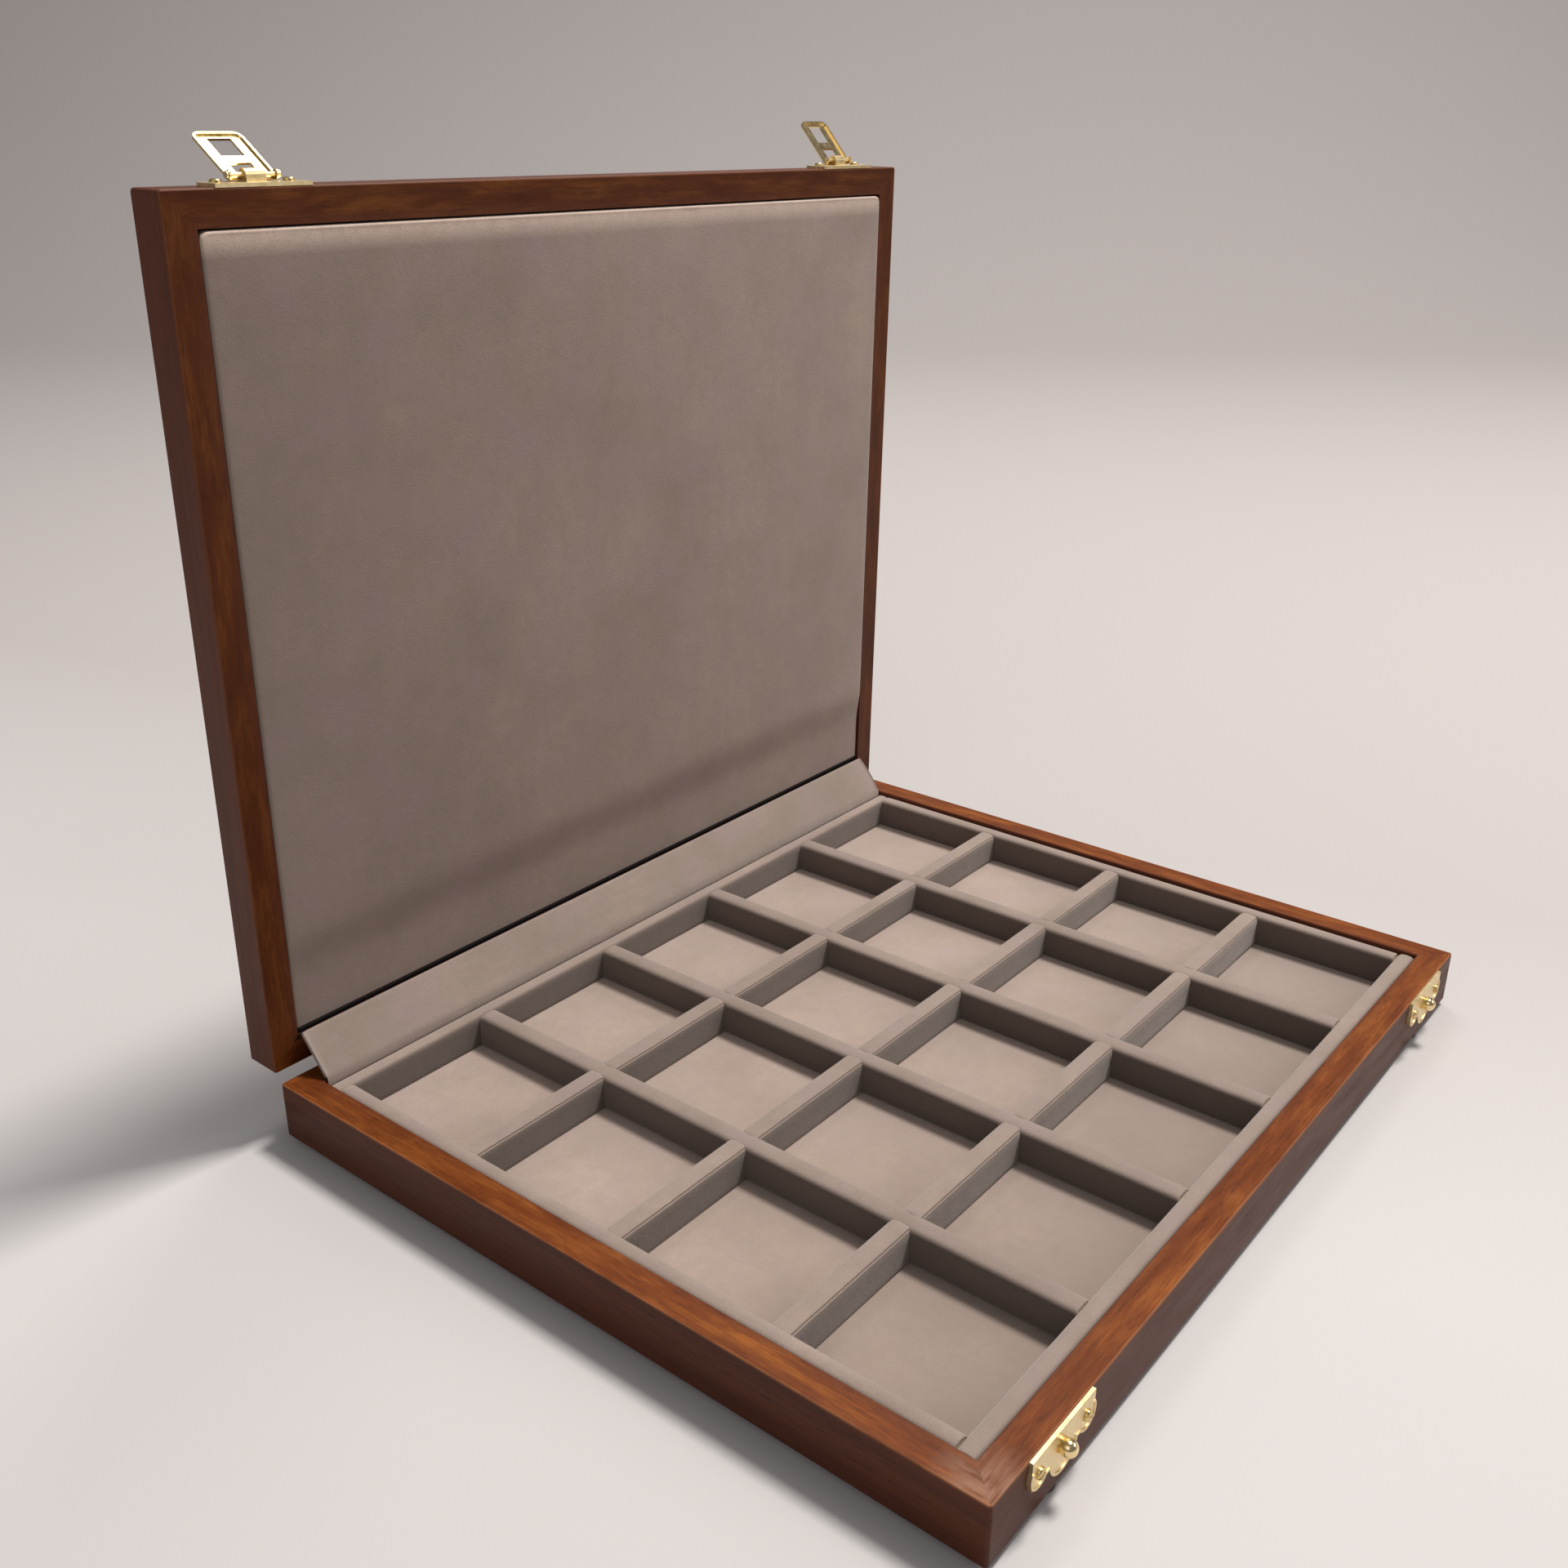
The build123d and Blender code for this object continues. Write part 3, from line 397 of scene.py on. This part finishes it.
def cover_profile(width, seam, TOP=TOP):
    """Cloth over a strip, from one foot over the top to the other: (across, height)."""
    w, r = width / 2, 2.1
    side = [(-w + 0.30, FLOOR - 0.02), (-w + 0.10, FLOOR + 0.30), (-w + 0.02, FLOOR + 0.8), (-w, FLOOR + 1.4)]
    side += [(-w + 0.05 * sin(pi * k / 6), FLOOR + 1.4 + (TOP - r - FLOOR - 1.4) * k / 6) for k in range(1, 7)]
    arc = [(-w + r - r * cos(radians(a)), TOP - 0.10 - (r - 0.10) * (1 - sin(radians(a)))) for a in (15, 30, 45, 60, 75)]
    half = side + arc
    flat = w - r
    crown = [(flat * q, TOP - 0.10 * abs(q) ** 1.5) for q in (-1.0, -0.5, 0.0, 0.5, 1.0)]
    prof = half + crown + [(-x, z) for x, z in reversed(half)]
    if seam:
        # the cloth's glued edge, which shows as a fine slit along one shoulder
        k = len(side) + 2
        x, z = prof[k]
        prof = prof[:k] + [(x - 0.05, z - 0.10), (x + 0.20, z - 0.12), (x + 0.06, z + 0.16)] + prof[k + 1:]
    return prof


def strip_cover(name, runs, width, along, centre, seam=False, top=TOP):
    """One strip's cloth. runs are its stretches along its axis."""
    verts, faces = [], []
    prof = cover_profile(width, seam, top)
    for a, b in runs:
        n = max(8, int((b - a) / 1.2))
        stops = [a, a + 0.15, a + 0.4, a + 0.8] + [a + 1.2 + (b - a - 2.4) * k / n for k in range(n + 1)] + [b - 0.8, b - 0.4, b - 0.15, b]
        start = len(verts)
        for s in stops:
            e = min(s - a, b - s)
            dip = 0.0 if e > 0.8 else (0.38 if not seam else 0.20) * (1 - (1 - (1 - e / 0.8) ** 2) ** 0.5)
            for j, (u, z) in enumerate(prof):
                lift = (z - FLOOR) / (TOP - FLOOR)
                # a long strip's top runs on into the shoulder of the strip that it meets
                q = max(0.0, min(1.0, (z - 14.9) / 1.9)) if seam else 0.0
                reach = 1.25 * q * max(0.0, 1 - e / 1.2)
                sx = s - reach if s - a < b - s else s + reach
                k = 1.0 - 0.022 * (0.5 + 0.5 * wave(s, centre, z, 0.16)) * lift
                zz = FLOOR + (z - FLOOR) * (1 - dip / (TOP - FLOOR)) - 0.09 * lift * (0.5 + 0.5 * wave(s, centre + u, 3.0, 0.11))
                uu = u * k * (1 - 0.10 * dip)
                if seam and 12 <= j <= 16:
                    zz += 0.11 * wave(s, centre, 5.0, 0.9) + 0.06 * wave(s, centre, 8.0, 2.1)
                verts.append((sx, centre + uu, zz) if along == "X" else (centre + uu, sx, zz))
        faces += grid_faces(len(stops), len(prof), start)
    o = mesh(name, verts, faces, VELVET_CROSS if name.startswith("cross") else VELVET_STRIP)
    return o


# ------------------------------------------------------------------
# Tray: floor cloth and the cloth on every strip
# ------------------------------------------------------------------
hx, hy = TRAY_X / 2, TRAY_Y / 2
borders = (
    ("tray_front_border", "X", -(hy - BORDER / 2), -hx, hx),
    ("tray_back_border", "X", hy - BORDER / 2, -hx, hx),
    ("tray_left_border", "Y", -(hx - BORDER / 2), -hy + BORDER, hy - BORDER),
    ("tray_right_border", "Y", hx - BORDER / 2, -hy + BORDER, hy - BORDER),
)
for name, along, centre, a, b in borders:
    # the outer strips' cloth fills out towards the rails
    free = name != "tray_back_border"
    out = 0.15 if free else 0.0
    o = strip_cover(f"{name}_cloth", [(a, b)], BORDER + 2 * out, along, centre + (out if centre > 0 else -out), top=TOP + (0.45 if free else 0.0))
    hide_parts(f"{name}_velvet")
    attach(o, "base")
for i, x in enumerate(CROSS_X):
    name = f"cross_divider_{i + 1}"
    a, b = -hy + BORDER, hy - BORDER
    o = strip_cover(f"{name}_cloth", [(a, b)], DIV, "Y", x)
    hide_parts(f"{name}_velvet")
    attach(o, "base")
for j, y in enumerate(LONG_Y):
    name = f"long_divider_{j + 1}"
    cuts = [-hx + BORDER] + [v for x in CROSS_X for v in (x - DIV / 2 + 0.05, x + DIV / 2 - 0.05)] + [hx - BORDER]
    runs = [(cuts[k], cuts[k + 1]) for k in range(0, len(cuts), 2)]
    o = strip_cover(f"{name}_cloth", runs, DIV, "X", y, seam=True)
    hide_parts(f"{name}_velvet")
    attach(o, "base")


def floor_cloth():
    nx, ny = 195, 157
    verts = []
    for r in range(ny):
        y = -hy + TRAY_Y * r / (ny - 1)
        for c in range(nx):
            x = -hx + TRAY_X * c / (nx - 1)
            verts.append((x, y, FLOOR - 0.06 + 0.05 * wave(x, y, 1.0, 0.05)))
    faces = [tuple(reversed(f)) for f in grid_faces(ny, nx)]
    o = mesh("tray_floor_cloth", verts, faces, VELVET_FLOOR)
    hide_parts("tray_floor_velvet")
    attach(o, "base")


floor_cloth()

# ------------------------------------------------------------------
# Lid pad: cloth over foam, blown up a little and pinned at its back rim
# ------------------------------------------------------------------
PAD_X, PAD_Y, PAD_FACE, PAD_BACK = 292.6, 234.6, 18.35, 26.8


def pad_start():
    hx_, hy_ = PAD_X / 2, PAD_Y / 2
    r, deep = 1.0, 0.9
    nx, ny = 98, 79
    xs = [-hx_ + r + (PAD_X - 2 * r) * k / (nx - 1) for k in range(nx)]
    ys = [-hy_ + r + (PAD_Y - 2 * r) * k / (ny - 1) for k in range(ny)]
    ys.insert(-1, 115.75)
    ny += 1
    verts = [(x, y, PAD_FACE) for y in ys for x in xs]
    faces = grid_faces(ny, nx)
    ring = [k for k in range(nx)] + [r_ * nx + nx - 1 for r_ in range(1, ny)]
    ring += [(ny - 1) * nx + k for k in range(nx - 2, -1, -1)] + [r_ * nx for r_ in range(ny - 2, 0, -1)]
    prev = ring
    for out, down in [(r * sin(radians(a)), deep * (1 - cos(radians(a)))) for a in (18, 36, 54, 72, 90)] + [(r, 3.6), (r, 5.0), (r, PAD_BACK - PAD_FACE)]:
        cur = []
        for k in ring:
            x, y, _ = verts[k]
            ox = (1 if x > hx_ - r - 0.01 else -1 if x < -hx_ + r + 0.01 else 0)
            oy = (1 if y > hy_ - r - 0.01 else -1 if y < -hy_ + r + 0.01 else 0)
            cur.append(len(verts))
            verts.append((x + out * ox, y + out * oy, PAD_FACE + down))
        m = len(ring)
        faces += [(prev[k], cur[k], cur[(k + 1) % m], prev[(k + 1) % m]) for k in range(m)]
        prev = cur
    return verts, faces, prev


def lid_pad():
    verts, faces, rim = pad_start()
    o = mesh("lid_pad_cover", verts, faces, VELVET_PAD, shift=Vector((0, 0, 0)))
    bpy.context.view_layer.objects.active = o
    o.select_set(True)
    bpy.ops.object.mode_set(mode="EDIT")
    bpy.ops.mesh.select_all(action="SELECT")
    bpy.ops.mesh.normals_make_consistent(inside=False)
    bpy.ops.object.mode_set(mode="OBJECT")
    start = [v.co.copy() for v in o.data.vertices]
    moved = [Vector((0, 0, 0)) for _ in start]
    g = o.vertex_groups.new(name="rim")
    g.add(rim, 1.0, "REPLACE")
    mod = o.modifiers.new("cloth", "CLOTH")
    s = mod.settings
    s.quality = 6
    s.mass = 0.25
    s.tension_stiffness = s.compression_stiffness = 25
    s.bending_stiffness = 2.0
    s.use_pressure = True
    s.uniform_pressure_force = 3.0
    s.vertex_group_mass = "rim"
    s.effector_weights.gravity = 0.0
    mod.point_cache.frame_start, mod.point_cache.frame_end = 1, 20
    sc = bpy.context.scene
    for f in range(1, 21):
        sc.frame_set(f)
    ev = o.evaluated_get(bpy.context.evaluated_depsgraph_get())
    moved = [ev.data.vertices[k].co - p for k, p in enumerate(start)]
    o.modifiers.clear()
    sc.frame_set(1)
    # deep shadow in the fold between the pad's back edge and the flap
    o.data.materials.append(PAD_GAP)
    for poly in o.data.polygons:
        if all(start[k].y > 0.1157 for k in poly.vertices):
            poly.material_index = 1
    top = max((m.length for m in moved), default=0.0)
    print("pad swelled by", round(top * 1000, 2), "mm before it was held back")
    for k, v in enumerate(o.data.vertices):
        p = start[k]
        x, y, z = p.x * 1000, p.y * 1000, p.z * 1000
        d = min(PAD_X / 2 - abs(x), PAD_Y / 2 - abs(y))
        # crown, held back near the hinge where the flap folds in
        e = max(0.0, min(1.0, d / 42))
        crown = 0.45 * (1 - (1 - e) ** 2)
        if top > 0:
            # the foam holds the cloth back, so its swelling is scaled down
            crown += 0.35 * max(0.0, -moved[k].z) / top
        if y > 82:
            crown *= max(0.0, 1 - (y - 82) / 15)
        if z < PAD_FACE + 0.01:
            z -= crown + 0.05 * wave(x, y, 2.0, 0.035)
            if y < -112:
                # drawn softly over the edge that meets the front rail
                z += 0.35 * min(1.0, (-112 - y) / 5.0) ** 2
            # puckers where the cloth is drawn over the front edge
            if y < -104:
                pull = (-104 - y) / 12
                z += 0.12 * pull * max(0.0, wave(x, 0.0, 5.0, 0.10)) ** 1.5
                z += 0.30 * pull * (2.7182818 ** (-((x - 37.0 + 0.15 * (y + 117)) / 1.5) ** 2))
        if y > 84 and p.z * 1000 < PAD_FACE + 2.0:
            # pressed back, rim and all, where the flap folds in
            q = min(1.0, (y - 84) / 14.0)
            z += 1.30 * q * q * (3 - 2 * q)
        v.co = (Vector(opened(x, y + 0.2, z)) + SHIFT) * MM
    o.data.update()
    sub = o.modifiers.new("soft", "SUBSURF")
    sub.levels = sub.render_levels = 1
    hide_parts("lid_pad_velvet", "lid_pad_foam")
    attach(o, "lid")


lid_pad()

# ------------------------------------------------------------------
# Hinge flap: cloth folded round its card, bowed towards its right end
# ------------------------------------------------------------------
FLAP_DEG, FLAP_W, FLAP_T, FLAP_X = 130.3, 16.7, 1.5, 291.8


def flap():
    """Front edge first: the cloth comes up from behind the tray's back border,
    past the fold, over the card's face and down its back."""
    c, s = cos(radians(FLAP_DEG)), sin(radians(FLAP_DEG))
    n = 150
    verts, faces = [], []
    tail = [(117.06, 16.5), (116.98, 17.1), (117.00, 17.7), (117.06, 18.3), (117.16, 18.9), (117.32, 19.5)]
    count = 0
    for i in range(n + 1):
        x = -FLAP_X / 2 + FLAP_X * i / n
        t = i / n
        bow = 0.10 + 0.50 * t * t
        ring = []
        for k in range(17):
            q = k / 16
            ring.append((1.5 + (FLAP_W - 1.5) * q, -FLAP_T / 2 - bow * sin(pi * q) ** 0.8 - 0.05 * wave(x, q * 20, 7.0, 0.05)))
        ring += [(FLAP_W + 0.12, -FLAP_T / 3), (FLAP_W + 0.16, 0.0), (FLAP_W + 0.12, FLAP_T / 3)]
        for k in range(16, -1, -1):
            q = k / 16
            ring.append((1.0 + (FLAP_W - 1.0) * q, FLAP_T / 2))
        ring += [(0.80, FLAP_T / 4)]
        pts = [(y + 0.04 * wave(x, z, 9.0, 0.12), z) for y, z in tail]
        pts += [(YF - along * c + thick * s, ZF + along * s + thick * c) for along, thick in ring]
        count = len(pts)
        # the cut ends are folded in a little
        tuck = 0.35 if i in (0, n) else 0.0
        for k, (y, z) in enumerate(pts):
            if tuck and k >= len(tail):
                cy = YF - (FLAP_W / 2 + 0.5) * c
                cz = ZF + (FLAP_W / 2 + 0.5) * s
                y, z = y + (cy - y) * 0.02, z + (cz - z) * 0.02
            verts.append((x, y, z))
    for i in range(n):
        for k in range(count - 1):
            a, b = i * count + k, i * count + k + 1
            faces.append((a, b, b + count, a + count))
    faces.append(tuple(range(len(tail), count)))
    faces.append(tuple(reversed(range(n * count + len(tail), (n + 1) * count))))
    o = mesh("hinge_flap_cloth", verts, faces, VELVET_FLAP)
    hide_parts("hinge_flap_velvet")
    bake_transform(o)


flap()

# ------------------------------------------------------------------
# Floor, light, camera
# ------------------------------------------------------------------
paper = Nodes("pale_floor")
pf = paper.noise(paper.mapped((3.0, 3.0, 3.0)), 1.0, 3.0, 0.5)
pale = paper.ramp(pf, [(0.3, (0.53, 0.508, 0.500, 1)), (0.7, (0.56, 0.538, 0.530, 1))])
# painted shade: the paper is painted darker towards +X and towards the back
along = paper.new("ShaderNodeVectorMath", operation="DOT_PRODUCT")
along.inputs[1].default_value = (0.97, 0.24, 0.0)
paper.link(paper.co.outputs["Object"], along.inputs[0])
pale = paper.mix(paper.span(along.outputs["Value"], -0.05, 0.20, 0.0, 1.0), pale, (0.450, 0.420, 0.410, 1))
paper.out(Base_Color=pale, Roughness=0.85)
sweep = []
rows = 40
for i in range(rows + 1):
    t = i / rows
    # flat floor that curves up into a wall, seen from the camera's side
    d = -2500 + 4300 * min(1.0, t / 0.6)
    z = 0.0
    if t > 0.6:
        a = (t - 0.6) / 0.4
        d = 1800 + 700 * sin(min(1.0, a * 2) * pi / 2)
        z = 700 * (1 - cos(min(1.0, a * 2) * pi / 2)) + max(0.0, a * 2 - 1) * 2200
    for side in (-4500, 4500):
        dx, dy = sin(radians(51.5)), cos(radians(51.5))
        sweep.append((d * dx + side * dy, d * dy - side * dx, z))
floor = mesh("stage_floor", sweep, [(2 * k, 2 * k + 1, 2 * k + 3, 2 * k + 2) for k in range(rows)], paper.mat, shift=Vector((0, 0, 0)))


def area(name, at, look, size, power, colour):
    l = bpy.data.lights.new(name, "AREA")
    l.shape = "RECTANGLE"
    l.size, l.size_y = size
    l.energy = power
    l.color = colour
    o = bpy.data.objects.new(name, l)
    o.location = at
    o.rotation_euler = (Vector(look) - Vector(at)).to_track_quat("-Z", "Y").to_euler()
    bpy.context.scene.collection.objects.link(o)


area("key", (1.15, -0.35, 2.85), (0.0, 0.0, 0.05), (0.60, 0.60), 95.0, (1.0, 0.965, 0.925))
area("front", (0.95, -1.15, 0.85), (0.0, 0.10, 0.12), (0.9, 0.7), 5.5, (1.0, 0.97, 0.95))
area("overhead", (0.35, -0.25, 1.9), (0.0, 0.0, 0.0), (0.9, 0.9), 4.0, (1.0, 0.98, 0.96))
area("left_fill", (-1.5, -0.45, 1.25), (0.0, 0.0, 0.05), (1.2, 1.2), 4.0, (1.0, 0.96, 0.93))
area("high_back", (0.76, 0.57, 1.54), (-0.125, 0.134, 0.284), (0.45, 0.45), 5.0, (1.0, 0.97, 0.93))
world = bpy.data.worlds.new("room")
world.use_nodes = True
world.node_tree.nodes["Background"].inputs["Color"].default_value = (0.97, 0.96, 1.0, 1)
world.node_tree.nodes["Background"].inputs["Strength"].default_value = 0.21
bpy.context.scene.world = world
bpy.context.scene.view_settings.view_transform = "Standard"

yaw, pitch, roll = radians(51.4867), radians(22.9392), radians(0.2644)
look = Vector((sin(yaw) * cos(pitch), cos(yaw) * cos(pitch), -sin(pitch)))
right = Vector((cos(yaw), -sin(yaw), 0.0))
up = right.cross(look)
r2 = cos(roll) * right + sin(roll) * up
u2 = -sin(roll) * right + cos(roll) * up
cam = bpy.data.cameras.new("camera")
cam.sensor_fit = "HORIZONTAL"
cam.sensor_width = 36.0
cam.lens = 36.0 * 1912.61 / 1920
cam.clip_start = 0.01
cam_o = bpy.data.objects.new("camera", cam)
rot = Matrix((r2, u2, -look)).transposed().to_4x4()
cam_o.matrix_world = Matrix.Translation((Vector((-377.185, -245.789, 290.723)) + SHIFT) * MM) @ rot
bpy.context.scene.collection.objects.link(cam_o)
bpy.context.scene.camera = cam_o
